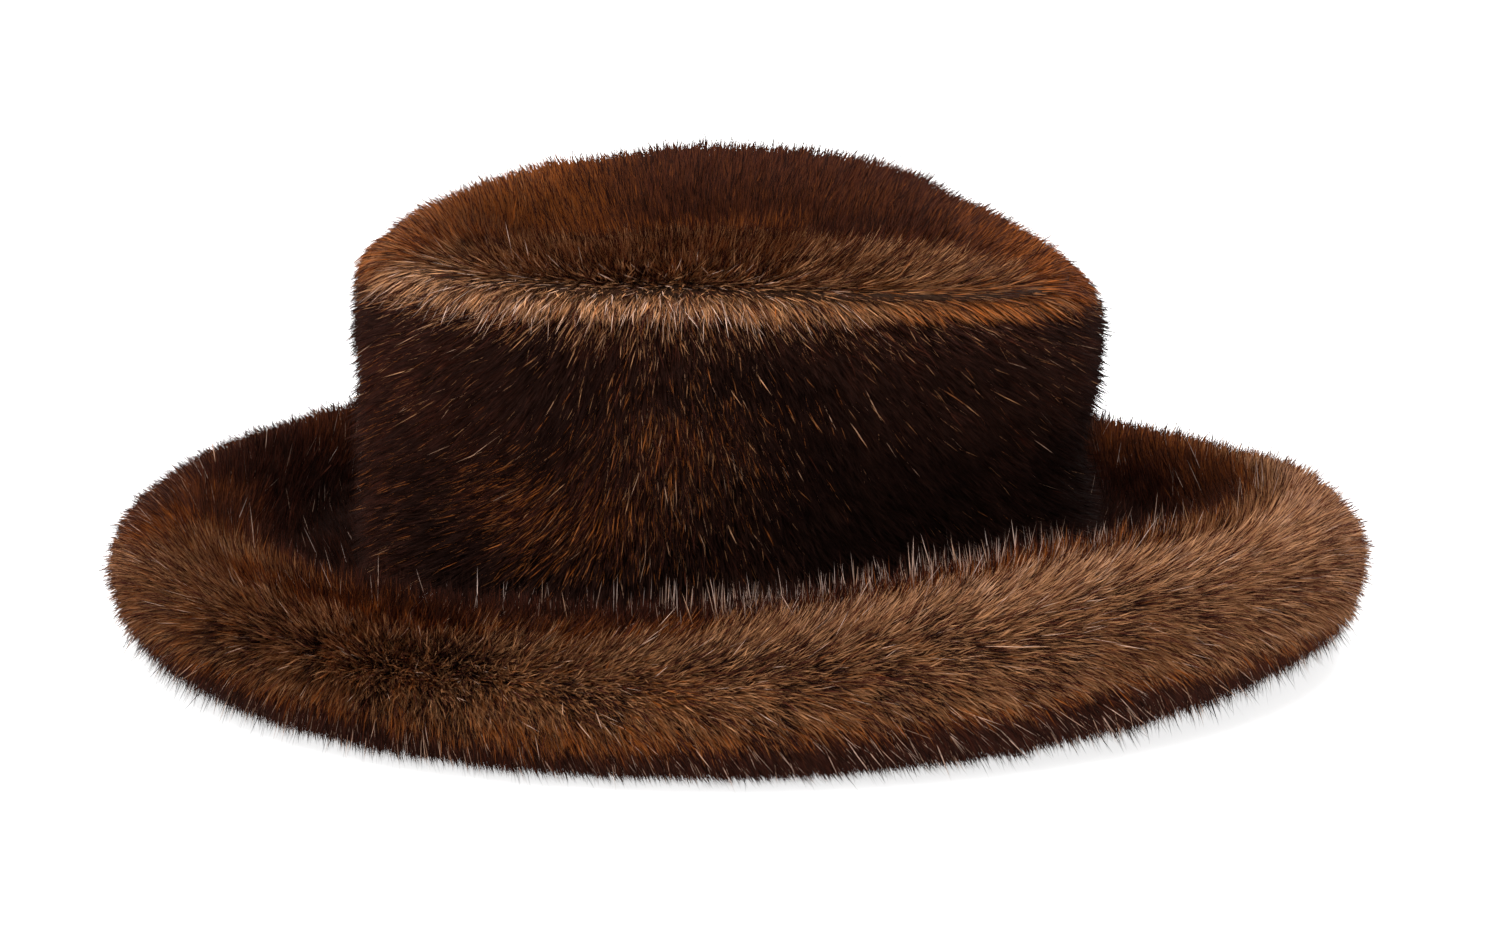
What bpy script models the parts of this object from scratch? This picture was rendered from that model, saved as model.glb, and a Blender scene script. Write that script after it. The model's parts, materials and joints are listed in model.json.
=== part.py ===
"""A fur hat: a dented oval crown of two pelts over a wide brim of two pelts with a padded roll.

Metres, +Z up. The hat stands on its brim at z = 0 with the origin under the middle of its box.
Azimuth 0 is +X, the long way of the head, and azimuths run counter-clockwise seen from above.
Every section is drawn in a plane that stands square on the head oval, as (out, height):
out is the distance from the head oval, and height is measured from the table.
Each pelt is one solid, its skin and its fur together. The fur side is drawn up into rows of
pointed locks that lean the way the hair runs.
"""

from collections import namedtuple

import bpy
import numpy as np

# Head opening
HEAD_LENGTH = 0.186
HEAD_WIDTH = 0.170

# A pelt with its fur lying on it, and the clearance that neighbours keep
PILE = 0.012
SEAM_GAP = 0.0003

# Crown: the highest stretch of the seam between band and tip, and the form of the tip
SHOULDER_HEIGHT = 0.118
SHOULDER_ROUND = 0.021
TIP_EDGE = 0.0025
TIP_DOME = 0.004
DENT_DEPTH = 0.017
DENT_LENGTH = 0.062
DENT_WIDTH = 0.034

# Where the dent's middle lies, as shares of the head's length and width, and the share of the tip's
# radius that lies level on the band's edge, and over which the dent fades out before that
DENT_SHIFT_X = -0.10
DENT_SHIFT_Y = 0.02
TIP_SEAT = 0.80
DENT_FADE = 0.35

# Brim: its reach past the crown wall, the padded roll that ends it, and how far the roll's
# underside may rise from the table
BRIM_REACH = 0.078
ROLL_HEIGHT = 0.044
ROLL_RADIUS = 0.023
ROLL_RISE = 0.008
GUTTER_SLOPE = 0.032
LIP_HEIGHT = 0.007

# Locks of fur: how far a tip stands up from the pelt, how far it leans along the hair, how much the
# locks differ, what a lock's root keeps of its lift, and the width of the tip's edge without locks
LOCK_LIFT = 0.0024
LOCK_LEAN = 0.0040
LOCK_VARIATION = 0.35
LOCK_ROOT = 0.15
LOCK_FREE_EDGE = 0.08

# Divisions of the meshes, and how much closer together the tip's rows get towards its edge
COLUMNS = 72
BAND_ROWS = 12
GUTTER_ROWS = 7
ROLL_ROWS = 9
TIP_CELLS = 26
SKIN_STEP = 4
SEAM_ROWS = 6
TIP_CROWDING = 0.25

# Where the upper brim pelt meets the crown's wall, and the share of the wall over which it starts to lean
GUTTER_HEIGHT = 2 * PILE + 2 * SEAM_GAP
LEAN_START = 0.2

# One row for each section round the hat. shoulder, roll, rise and reach are shares of
# SHOULDER_HEIGHT, ROLL_HEIGHT, ROLL_RISE and BRIM_REACH.
Section = namedtuple("Section", "azimuth shoulder roll rise reach")
SECTIONS = (
    Section(0, 0.86, 1.00, 0.4, 1.00),
    Section(30, 0.895, 0.84, 0.6, 0.995),
    Section(60, 0.98, 0.90, 0.3, 0.97),
    Section(90, 1.00, 0.98, 0.0, 0.97),
    Section(120, 0.985, 1.00, 0.2, 0.97),
    Section(150, 0.955, 0.96, 0.6, 0.95),
    Section(180, 0.93, 0.92, 0.7, 0.93),
    Section(210, 0.935, 0.90, 0.5, 0.94),
    Section(240, 0.95, 0.92, 0.1, 0.955),
    Section(270, 0.96, 0.97, 0.0, 0.965),
    Section(300, 0.93, 1.20, 0.5, 0.985),
    Section(330, 0.885, 1.14, 0.9, 1.00),
)

# How the crown wall leans: at each share of its height, how far it stands out, as a share of PILE
Lean = namedtuple("Lean", "height out")
BAND_LEANS = (
    Lean(0.0, 0.00),
    Lean(0.3, -0.10),
    Lean(0.6, 0.00),
    Lean(0.85, 0.10),
    Lean(1.0, 0.00),
)

# Soft dents of the crown wall: centre, half extents in degrees and in shares of the wall's height,
# and depth as a share of PILE. A negative depth is a bulge.
Dent = namedtuple("Dent", "azimuth height half_angle half_height depth")
BAND_DENTS = (
    Dent(232, 0.55, 22, 0.22, 0.30),
    Dent(236, 0.20, 20, 0.18, -0.22),
    Dent(5, 0.42, 24, 0.16, 0.42),
    Dent(300, 0.45, 26, 0.25, 0.16),
    Dent(110, 0.50, 30, 0.22, 0.28),
)

# The under pelt's lower side, from the head opening at 0 to below the roll's middle at 1: what is
# left there of LIP_HEIGHT and of the roll's rise. Between two noughts it lies flat on the table.
Base = namedtuple("Base", "out lip rise")
BASES = (
    Base(0.00, 1.00, 0.0),
    Base(0.10, 0.25, 0.0),
    Base(0.28, 0.00, 0.0),
    Base(0.64, 0.00, 0.0),
    Base(0.84, 0.00, 0.3),
    Base(1.00, 0.00, 1.0),
)

# Fur colours: what the lying hair of each pelt looks like, as linear RGB
TIP_BROWN = (0.16, 0.07, 0.03)
BAND_BROWN = (0.035, 0.016, 0.010)
GUTTER_BROWN = (0.055, 0.025, 0.015)
ROLL_BROWN = (0.13, 0.065, 0.032)
FUR_ROUGHNESS = 0.6
CREASE_DEGREES = 50

FULL_TURN = 2 * np.pi


def around(column, azimuth):
    """A column of SECTIONS at any azimuth: a closed Catmull-Rom curve through its even rows."""
    values = np.array([getattr(row, column) for row in SECTIONS])
    place = azimuth / FULL_TURN * len(values)
    row = np.floor(place).astype(int)
    t = place - row
    before, first, second, after = (values[(row + step) % len(values)] for step in (-1, 0, 1, 2))
    return first + 0.5 * t * (
        second - before
        + t * (2 * before - 5 * first + 4 * second - after)
        + t * t * (3 * (first - second) + after - before)
    )


def smooth_step(t):
    t = np.clip(t, 0, 1)
    return t * t * (3 - 2 * t)


def on_plan(azimuth, out, height):
    """Points of a section: the head oval's point, moved out along its normal and up."""
    azimuth, out, height = np.broadcast_arrays(azimuth, out, height)
    oval = np.stack([HEAD_LENGTH / 2 * np.cos(azimuth), HEAD_WIDTH / 2 * np.sin(azimuth)], -1)
    normal = np.stack([np.cos(azimuth) / HEAD_LENGTH, np.sin(azimuth) / HEAD_WIDTH], -1)
    normal /= np.linalg.norm(normal, axis=-1, keepdims=True)
    return np.concatenate([oval + normal * out[..., None], height[..., None]], -1)


def shoulder_height(azimuth):
    return SHOULDER_HEIGHT * around("shoulder", azimuth)


def roll_height(azimuth):
    return ROLL_HEIGHT * around("roll", azimuth)


def roll_centre(azimuth):
    """How far out the middle of the padded roll is."""
    return PILE + BRIM_REACH * around("reach", azimuth) - ROLL_RADIUS


def seam_line(azimuth, share):
    """The line where the two brim pelts lie on each other: share is 0 at the head opening and 1 at
    the roll's top."""
    end = roll_centre(azimuth)
    out = end * share
    climb = smooth_step((out - end + GUTTER_SLOPE) / GUTTER_SLOPE)
    height = PILE + (roll_height(azimuth) - 2 * PILE) * climb
    return out, height


def wall_lean(azimuth, height):
    """How far the crown's skin stands out from the head oval: the shared lean, less the dents.
    It starts at nothing where the upper brim pelt meets the wall."""
    share = (height - GUTTER_HEIGHT) / (shoulder_height(azimuth) - GUTTER_HEIGHT)
    shares = [row.height for row in BAND_LEANS]
    leans = [row.out for row in BAND_LEANS]
    out = np.interp(share, shares, leans)
    for dent in BAND_DENTS:
        turn = np.angle(np.exp(1j * (azimuth - np.radians(dent.azimuth)))) / np.radians(dent.half_angle)
        rise = (share - dent.height) / dent.half_height
        out = out - dent.depth * np.exp(-turn**2 - rise**2)
    return PILE * out * smooth_step(share / LEAN_START)


def tip_height(x, y, share, azimuth):
    """Height of the tip's skin: level on the band's edge, and inside it a low dome with one long dent."""
    share = np.minimum(1, share / TIP_SEAT)
    middle = np.mean([SHOULDER_HEIGHT * row.shoulder for row in SECTIONS])
    level = middle + (shoulder_height(azimuth) - middle) * share**2
    dent_x = (x - DENT_SHIFT_X * HEAD_LENGTH) / DENT_LENGTH
    dent_y = (y - DENT_SHIFT_Y * HEAD_WIDTH) / DENT_WIDTH
    dent = np.exp(-(dent_x**4) - dent_y**2) * smooth_step((1 - share) / DENT_FADE)
    return level + TIP_DOME * (1 - share**2) - DENT_DEPTH * dent


def lock_pattern(row, column, rng):
    """Where a grid point belongs to a lock: 1 at its pointed end, little at its root, 0 between locks.
    Locks of one row stand between those of the next, like shingles."""
    at_end = row % 2 == 1
    on_lock = (column + row // 2) % 2 == 0
    variation = 1 + LOCK_VARIATION * rng.uniform(-1, 1, np.broadcast(row, column).shape)
    return np.where(at_end & on_lock, 1.0, np.where(on_lock, LOCK_ROOT, 0.0)) * variation


def unit(vectors):
    return vectors / np.linalg.norm(vectors, axis=-1, keepdims=True)


def raise_locks(points, strength, seed):
    """Lifts and leans a ring-shaped grid into locks. Its rows run along the hair, out from the head
    oval and down, and its columns counter-clockwise. strength fades the locks by row."""
    rows, columns = points.shape[:2]
    along = unit(np.gradient(points, axis=0))
    across = np.roll(points, -1, axis=1) - np.roll(points, 1, axis=1)
    normal = unit(np.cross(along, across))
    pattern = lock_pattern(np.arange(rows)[:, None], np.arange(columns)[None], np.random.default_rng(seed))
    pattern = (pattern * strength[:, None])[..., None]
    return points + pattern * (LOCK_LIFT * normal + LOCK_LEAN * along)


def fur_material(name, colour):
    material = bpy.data.materials.new(name)
    material.use_nodes = True
    shader = material.node_tree.nodes["Principled BSDF"]
    shader.inputs["Base Color"].default_value = (*colour, 1)
    shader.inputs["Roughness"].default_value = FUR_ROUGHNESS
    shader.inputs["Metallic"].default_value = 0.0
    return material


def solid_object(name, points, faces, colour):
    """A named mesh object with its own fur material, shaded smooth."""
    mesh = bpy.data.meshes.new(name)
    mesh.from_pydata(points.tolist(), [], faces.tolist())
    mesh.validate()
    mesh.shade_smooth()
    mesh.set_sharp_from_angle(angle=np.radians(CREASE_DEGREES))
    mesh.materials.append(fur_material(name, colour))
    obj = bpy.data.objects.new(name, mesh)
    bpy.context.collection.objects.link(obj)
    return obj


def ring_solid(name, loops, colour):
    """A closed ring from loops of points (loops by columns): each loop is joined to the next, and the
    last to the first. Seen along a section with the hat's outside to the right, they run anticlockwise."""
    count, columns = loops.shape[:2]
    index = np.arange(count * columns).reshape(count, columns)
    right = np.roll(index, -1, axis=1)
    above = np.roll(index, -1, axis=0)
    faces = np.stack([index, right, np.roll(above, -1, axis=1), above], -1).reshape(-1, 4)
    return solid_object(name, loops.reshape(-1, 3), faces, colour)


def azimuths():
    return np.arange(COLUMNS)[None] * FULL_TURN / COLUMNS


def crown_band():
    """The crown's wall: stands on the under brim, and its hair runs down from the shoulder."""
    azimuth = azimuths()
    shoulder = shoulder_height(azimuth)
    shares = np.linspace(1, 0, BAND_ROWS + 1)[:, None]
    foot = PILE + SEAM_GAP + 0 * azimuth
    heights = np.concatenate([GUTTER_HEIGHT + (shoulder - GUTTER_HEIGHT) * shares, foot])
    lean = wall_lean(azimuth, heights)
    strength = np.ones(len(heights))
    strength[[0, -2, -1]] = 0
    fur = raise_locks(on_plan(azimuth, PILE + lean, heights), strength, seed=1)
    skin_rows = [-1, *range(BAND_ROWS, -1, -SKIN_STEP)]
    skin = on_plan(azimuth, lean, heights)[skin_rows]
    return ring_solid("crown_band", np.concatenate([fur, skin])[::-1], BAND_BROWN)


def seam_shares(azimuth, rows):
    """Where the upper pelt lies on the seam line: from the crown's wall to just short of the roll's top."""
    centre = roll_centre(azimuth)
    start = (PILE + SEAM_GAP) / centre
    end = 1 - SEAM_GAP / centre
    return start + (end - start) * np.linspace(0, 1, rows + 1)[:, None]


def brim_top():
    """The upper pelt of the brim: from the crown's wall over the gutter up to the top of the roll."""
    azimuth = azimuths()

    def sheet(rows, lift):
        out, height = seam_line(azimuth, seam_shares(azimuth, rows))
        return on_plan(azimuth, out, height + lift)

    strength = np.ones(GUTTER_ROWS + 1)
    strength[[0, -1]] = 0
    upper = raise_locks(sheet(GUTTER_ROWS, PILE), strength, seed=2)
    lower = sheet(SEAM_ROWS, SEAM_GAP)
    return ring_solid("brim_top", np.concatenate([upper, lower[::-1]])[::-1], GUTTER_BROWN)


def brim_under():
    """The under pelt of the brim: flat where the hat stands, round the padded roll and up to its top."""
    azimuth = azimuths()
    centre = roll_centre(azimuth)
    rise = ROLL_RISE * around("rise", azimuth)
    half = (roll_height(azimuth) - rise) / 2
    base = [on_plan(azimuth, centre * row.out, LIP_HEIGHT * row.lip + rise * row.rise) for row in BASES]
    turns = np.radians(np.linspace(-90, 90, ROLL_ROWS + 1)[1:])
    roll = [
        on_plan(azimuth, centre + ROLL_RADIUS * np.cos(turn), rise + half * (1 + np.sin(turn)))
        for turn in turns
    ]
    outside = np.concatenate(base + roll)
    strength = np.zeros(len(outside))
    strength[len(base) + 1 : -1] = 1
    outside = raise_locks(outside[::-1], strength[::-1], seed=3)[::-1]
    # No lock hangs below the table
    outside[..., 2] = np.maximum(outside[..., 2], 0)
    top = 1 + 0 * azimuth
    shares = np.concatenate([top, seam_shares(azimuth, SEAM_ROWS)[::-1], 0 * top])
    out, height = seam_line(azimuth, shares)
    seam = on_plan(azimuth, out, height)
    return ring_solid("brim_under", np.concatenate([outside, seam]), ROLL_BROWN)


def crown_tip():
    """The crown's top pelt: an oval that rests on the band's edge. Its hair runs out from the middle."""
    steps = np.linspace(-1, 1, TIP_CELLS + 1)
    u, v = np.meshgrid(steps, steps, indexing="ij")
    # A square grid drawn to a disc, with its rows closer together towards the edge
    disc_x = u * np.sqrt(1 - v * v / 2)
    disc_y = v * np.sqrt(1 - u * u / 2)
    share = np.hypot(disc_x, disc_y)
    azimuth = np.arctan2(disc_y, disc_x) % FULL_TURN
    share = np.minimum(1, share * (1 + TIP_CROWDING * (1 - share)))
    edge = on_plan(azimuth, PILE + wall_lean(azimuth, shoulder_height(azimuth)), 0)
    x = edge[..., 0] * share
    y = edge[..., 1] * share
    inward = np.hypot(edge[..., 0], edge[..., 1]) * (1 - share)
    skin = np.stack([x, y, tip_height(x, y, share, azimuth) + SEAM_GAP], -1)
    roundness = np.sqrt(1 - (1 - np.clip(inward / SHOULDER_ROUND, 0, 1)) ** 2)
    pile = TIP_EDGE + (PILE - TIP_EDGE) * roundness
    fur = skin + pile[..., None] * np.array([0, 0, 1])
    return disc_solid("crown_tip", raise_tip_locks(fur, share), skin, TIP_BROWN)


def raise_tip_locks(points, share):
    """Locks of the tip, in square rings round the middle that point outwards."""
    normal = unit(np.cross(np.gradient(points, axis=0), np.gradient(points, axis=1)))
    outward = points * np.array([1, 1, 0])
    outward /= np.maximum(np.linalg.norm(outward, axis=-1, keepdims=True), PILE)
    half = TIP_CELLS // 2
    i, j = np.meshgrid(np.arange(-half, half + 1), np.arange(-half, half + 1), indexing="ij")
    ring = np.maximum(abs(i), abs(j))
    pattern = lock_pattern(ring, i + j, np.random.default_rng(4))
    pattern = (pattern * smooth_step((1 - share) / LOCK_FREE_EDGE - 1))[..., None]
    return points + pattern * (LOCK_LIFT * normal + LOCK_LEAN * outward)


def disc_solid(name, fur, skin, colour):
    """A closed slab from two square grids of points, fur side above skin side, joined at the edge."""
    cells = fur.shape[0] - 1
    above = np.arange((cells + 1) ** 2).reshape(cells + 1, cells + 1)
    below = above + above.size

    def quads(index):
        corners = [index[:-1, :-1], index[1:, :-1], index[1:, 1:], index[:-1, 1:]]
        return np.stack(corners, -1).reshape(-1, 4)

    def rim(index):
        return np.concatenate([index[:-1, 0], index[-1, :-1], index[:0:-1, -1], index[0, :0:-1]])

    high = rim(above)
    low = rim(below)
    edge = np.stack([low, np.roll(low, -1), np.roll(high, -1), high], -1)
    faces = np.concatenate([quads(above), quads(below)[:, ::-1], edge])
    points = np.concatenate([fur.reshape(-1, 3), skin.reshape(-1, 3)])
    return solid_object(name, points, faces, colour)


def stand_over_origin(objects):
    """Moves all pieces together so that the middle of the hat's box is over the origin."""
    corners = np.array([vertex.co[:2] for obj in objects for vertex in obj.data.vertices])
    middle = (corners.min(0) + corners.max(0)) / 2
    for obj in objects:
        obj.location = (-middle[0], -middle[1], 0)


def main():
    for obj in list(bpy.data.objects):
        bpy.data.objects.remove(obj)
    stand_over_origin([crown_tip(), crown_band(), brim_top(), brim_under()])


main()
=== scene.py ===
# %% [markdown]
# # A fur hat, dressed strand by strand
# The hat is four pelts: a tip and a band for the crown, an upper and an under pelt for the brim,
# whose edge is a padded roll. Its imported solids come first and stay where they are. Each pelt here
# is a skin with dense underfur, made as a thin shell a few millimetres inside its solid, and a coat
# of single hairs that stand on it. Particle hair would be quicker to comb, but it doesn't leave the
# file as a mesh, so the hairs are worked out as arrays: a root, a bend and a point for each.

import json
from collections import namedtuple

import bpy
import numpy as np
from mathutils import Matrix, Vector

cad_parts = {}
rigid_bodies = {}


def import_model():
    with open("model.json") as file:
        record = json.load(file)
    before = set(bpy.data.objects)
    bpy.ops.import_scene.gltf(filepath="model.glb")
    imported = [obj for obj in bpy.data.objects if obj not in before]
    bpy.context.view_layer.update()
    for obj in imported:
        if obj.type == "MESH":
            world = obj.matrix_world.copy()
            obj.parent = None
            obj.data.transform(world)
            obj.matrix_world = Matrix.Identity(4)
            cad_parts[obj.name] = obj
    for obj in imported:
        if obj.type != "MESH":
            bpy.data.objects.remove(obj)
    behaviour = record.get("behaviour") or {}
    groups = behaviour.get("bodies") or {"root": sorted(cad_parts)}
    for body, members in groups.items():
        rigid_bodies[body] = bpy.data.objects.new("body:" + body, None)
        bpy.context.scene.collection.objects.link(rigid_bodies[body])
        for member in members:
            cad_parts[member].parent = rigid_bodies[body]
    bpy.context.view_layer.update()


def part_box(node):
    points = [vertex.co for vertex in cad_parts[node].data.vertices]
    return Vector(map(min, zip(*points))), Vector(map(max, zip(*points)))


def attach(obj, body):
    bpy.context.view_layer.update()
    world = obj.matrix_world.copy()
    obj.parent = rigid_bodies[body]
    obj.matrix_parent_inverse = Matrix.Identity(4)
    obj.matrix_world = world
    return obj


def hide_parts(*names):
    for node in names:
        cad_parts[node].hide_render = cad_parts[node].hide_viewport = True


for leftover in list(bpy.data.objects):
    bpy.data.objects.remove(leftover)
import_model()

# %% [markdown]
# ## Camera
# The photograph looks along the hat's short way, from 15 degrees above the table and from far off,
# so a long lens stands in for it. The camera is aimed, not shifted, so that every other view of
# the hat keeps it in the middle.

# %% Camera
VIEW_DISTANCE = 1.5
VIEW_ELEVATION = np.radians(14.85)
PIXELS_PER_METRE = 3402
PHOTO_WIDTH = 1500
AIM = Vector((0.0036, 0.0, 0.0490))
SENSOR_MM = 36

camera = bpy.data.objects.new("camera", bpy.data.cameras.new("camera"))
bpy.context.scene.collection.objects.link(camera)
camera.data.sensor_width = SENSOR_MM
camera.data.lens = PIXELS_PER_METRE * VIEW_DISTANCE / PHOTO_WIDTH * SENSOR_MM
camera.location = VIEW_DISTANCE * Vector((0, -np.cos(VIEW_ELEVATION), np.sin(VIEW_ELEVATION)))
camera.rotation_euler = (AIM - camera.location).to_track_quat("-Z", "Y").to_euler()
bpy.context.scene.camera = camera
print("lens %.1f mm at %.2f m" % (camera.data.lens, VIEW_DISTANCE))

# %% [markdown]
# ## Sizes
# The hat's sizes are read back from its solids. The tip's box ends at the crown's wall, the band's
# foot stands one pile above the table, and the upper brim pelt ends at the middle of the roll.
# What a box can't tell, the unevenness of a hat formed by hand, is in three short tables of shares.

# %% Sizes from the solids
SEAM_GAP = 0.0003
ROLL_RADIUS = 0.023
ROLL_RISE = 0.008
GUTTER_SLOPE = 0.032
SHOULDER_ROUND = 0.021
TIP_EDGE = 0.0025
TIP_DOME = 0.004
TIP_SEAT = 0.80
DENT_DEPTH = 0.017
DENT_LENGTH = 0.062
DENT_WIDTH = 0.034
DENT_SHIFT = (-0.10, 0.02)
DENT_FADE = 0.35
LEAN_START = 0.2
FULL_TURN = 2 * np.pi

Section = namedtuple("Section", "azimuth shoulder roll rise reach")
SECTIONS = (
    Section(0, 0.86, 1.00, 0.4, 1.00),
    Section(30, 0.895, 0.84, 0.6, 0.995),
    Section(60, 0.98, 0.90, 0.3, 0.97),
    Section(90, 1.00, 0.98, 0.0, 0.97),
    Section(120, 0.985, 1.00, 0.2, 0.97),
    Section(150, 0.955, 0.96, 0.6, 0.95),
    Section(180, 0.93, 0.92, 0.7, 0.93),
    Section(210, 0.935, 0.90, 0.5, 0.94),
    Section(240, 0.95, 0.92, 0.1, 0.955),
    Section(270, 0.96, 0.97, 0.0, 0.965),
    Section(300, 0.93, 1.20, 0.5, 0.985),
    Section(330, 0.885, 1.14, 0.9, 1.00),
)
Lean = namedtuple("Lean", "height out")
BAND_LEANS = (Lean(0.0, 0.0), Lean(0.3, -0.10), Lean(0.6, 0.0), Lean(0.85, 0.10), Lean(1.0, 0.0))
Dent = namedtuple("Dent", "azimuth height half_angle half_height depth")
BAND_DENTS = (
    Dent(232, 0.55, 22, 0.22, 0.30),
    Dent(236, 0.20, 20, 0.18, -0.22),
    Dent(5, 0.42, 24, 0.16, 0.42),
    Dent(300, 0.45, 26, 0.25, 0.16),
    Dent(110, 0.50, 30, 0.22, 0.28),
)


def around(column, azimuth):
    """A column of SECTIONS at any azimuth: a closed Catmull-Rom curve through its even rows."""
    values = np.array([getattr(row, column) for row in SECTIONS])
    place = azimuth / FULL_TURN * len(values)
    row = np.floor(place).astype(int)
    t = place - row
    before, first, second, after = (values[(row + step) % len(values)] for step in (-1, 0, 1, 2))
    return first + 0.5 * t * (
        second - before
        + t * (2 * before - 5 * first + 4 * second - after)
        + t * t * (3 * (first - second) + after - before)
    )


tip_low, tip_high = (np.array(corner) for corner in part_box("crown_tip"))
band_low, band_high = (np.array(corner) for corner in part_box("crown_band"))
seam_high = np.array(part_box("brim_top")[1])
every_azimuth = np.linspace(0, FULL_TURN, 361)
PILE = band_low[2] - SEAM_GAP
MIDDLE = np.array([*(tip_low + tip_high)[:2] / 2, 0])
HEAD_LENGTH, HEAD_WIDTH = (tip_high - tip_low)[:2] - 2 * PILE
SHOULDER_HEIGHT = band_high[2] / around("shoulder", every_azimuth).max()
ROLL_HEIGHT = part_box("brim_under")[1][2] / around("roll", every_azimuth).max()
BRIM_REACH = seam_high[0] + SEAM_GAP - MIDDLE[0] - HEAD_LENGTH / 2 - PILE + ROLL_RADIUS
GUTTER_HEIGHT = 2 * PILE + 2 * SEAM_GAP
print("head %.1f x %.1f mm, pile %.1f" % (1e3 * HEAD_LENGTH, 1e3 * HEAD_WIDTH, 1e3 * PILE))
print("shoulder %.1f, roll %.1f, reach %.1f mm" % (1e3 * SHOULDER_HEIGHT, 1e3 * ROLL_HEIGHT, 1e3 * BRIM_REACH))

# %% [markdown]
# ## Four surfaces
# A pelt is one function of two parameters: how far along the section, from the middle of the hat
# out and down, and the azimuth. A third number, the cover, says how deep in the fur the surface
# lies: 0 is the skin, and 1 is where the fur's points are. The shells and the hair roots are all
# read from the same four functions, so nothing has to be fitted afterwards.

# %% Sections of the hat


def smooth_step(t):
    """3 t squared less 2 t cubed, held between 0 and 1."""
    t = np.clip(t, 0, 1)
    return t * t * (3 - 2 * t)


def on_plan(azimuth, out, height):
    """The head oval's point at this azimuth, moved out along the oval's normal and up."""
    azimuth, out, height = np.broadcast_arrays(azimuth, out, height)
    oval = np.stack([HEAD_LENGTH / 2 * np.cos(azimuth), HEAD_WIDTH / 2 * np.sin(azimuth)], -1)
    normal = np.stack([np.cos(azimuth) / HEAD_LENGTH, np.sin(azimuth) / HEAD_WIDTH], -1)
    normal /= np.linalg.norm(normal, axis=-1, keepdims=True)
    return np.concatenate([oval + normal * out[..., None], height[..., None]], -1) + MIDDLE


def roll_middle(azimuth):
    """How far out of the head oval the middle of the padded roll is."""
    return PILE + BRIM_REACH * around("reach", azimuth) - ROLL_RADIUS


def wall_lean(azimuth, height):
    """How far the crown's skin stands out of the head oval: a curve up the wall, less its soft dents."""
    share = (height - GUTTER_HEIGHT) / (SHOULDER_HEIGHT * around("shoulder", azimuth) - GUTTER_HEIGHT)
    out = np.interp(share, [row.height for row in BAND_LEANS], [row.out for row in BAND_LEANS])
    for dent in BAND_DENTS:
        turn = np.angle(np.exp(1j * (azimuth - np.radians(dent.azimuth)))) / np.radians(dent.half_angle)
        rise = (share - dent.height) / dent.half_height
        out = out - dent.depth * np.exp(-turn**2 - rise**2)
    return PILE * out * smooth_step(share / LEAN_START)


def band_at(down, azimuth, cover):
    """The crown's wall: down is 0 at the shoulder and 1 at the gutter."""
    shoulder = SHOULDER_HEIGHT * around("shoulder", azimuth)
    height = shoulder + (GUTTER_HEIGHT - shoulder) * down
    return on_plan(azimuth, wall_lean(azimuth, height) + PILE * cover, height)


def gutter_at(share, azimuth, cover):
    """The upper brim pelt: share is 0 at the crown's wall and 1 at the roll's top. It is flat, then climbs."""
    end = roll_middle(azimuth)
    out = PILE + (end - PILE) * share
    climb = smooth_step((out - end + GUTTER_SLOPE) / GUTTER_SLOPE)
    height = PILE + (ROLL_HEIGHT * around("roll", azimuth) - 2 * PILE) * climb
    return on_plan(azimuth, out, height + PILE * cover)


def roll_at(turn, azimuth, cover):
    """The under brim pelt round the padded roll: turn is 0 at its top and 1 underneath, half an ellipse."""
    angle = np.pi * (0.5 - turn)
    depth = PILE * (1 - cover)
    rise = ROLL_RISE * around("rise", azimuth)
    half = (ROLL_HEIGHT * around("roll", azimuth) - rise) / 2
    out = roll_middle(azimuth) + (ROLL_RADIUS - depth) * np.cos(angle)
    return on_plan(azimuth, out, rise + half + (half - depth) * np.sin(angle))


def tip_at(share, azimuth, cover):
    """The crown's top pelt: share is 0 in its middle and 1 at the shoulder. A low dome with one long
    dent, level over the wall, its fur rounded off over the shoulder."""
    shoulder = SHOULDER_HEIGHT * around("shoulder", azimuth)
    edge = on_plan(azimuth, PILE + 0 * azimuth, 0) - MIDDLE
    x = edge[..., 0] * share
    y = edge[..., 1] * share
    seat = np.minimum(1, share / TIP_SEAT)
    middle = SHOULDER_HEIGHT * np.mean([row.shoulder for row in SECTIONS])
    level = middle + (shoulder - middle) * seat**2 + TIP_DOME * (1 - seat**2)
    dent_x = (x - DENT_SHIFT[0] * HEAD_LENGTH) / DENT_LENGTH
    dent_y = (y - DENT_SHIFT[1] * HEAD_WIDTH) / DENT_WIDTH
    dent = np.exp(-(dent_x**4) - dent_y**2) * smooth_step((1 - seat) / DENT_FADE)
    inward = np.hypot(edge[..., 0], edge[..., 1]) * (1 - share)
    round_off = np.sqrt(1 - (1 - np.clip(inward / SHOULDER_ROUND, 0, 1)) ** 2)
    height = level - DENT_DEPTH * dent + SEAM_GAP + (TIP_EDGE + (PILE - TIP_EDGE) * round_off) * cover
    return np.stack([x, y, height], -1) + MIDDLE


for surface in (tip_at, band_at, gutter_at, roll_at):
    spot = surface(np.array([0.5]), np.array([1.5 * np.pi]), 1.0)[0]
    print(surface.__name__, "front, half way:", spot.round(4))

# %% [markdown]
# ## Chance that repeats
# Fur is uneven at every scale: broad patches, tufts, and single hairs. Two fields give that
# unevenness. A cloud is a smooth random value in space, and a tuft field says, for any point, where
# the nearest tuft has its middle. Both are worked out from whole numbers, so each run is the same.

# %% Clouds and tufts
HASH_PRIMES = (73856093, 19349663, 83492791, 2654435761)


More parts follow.
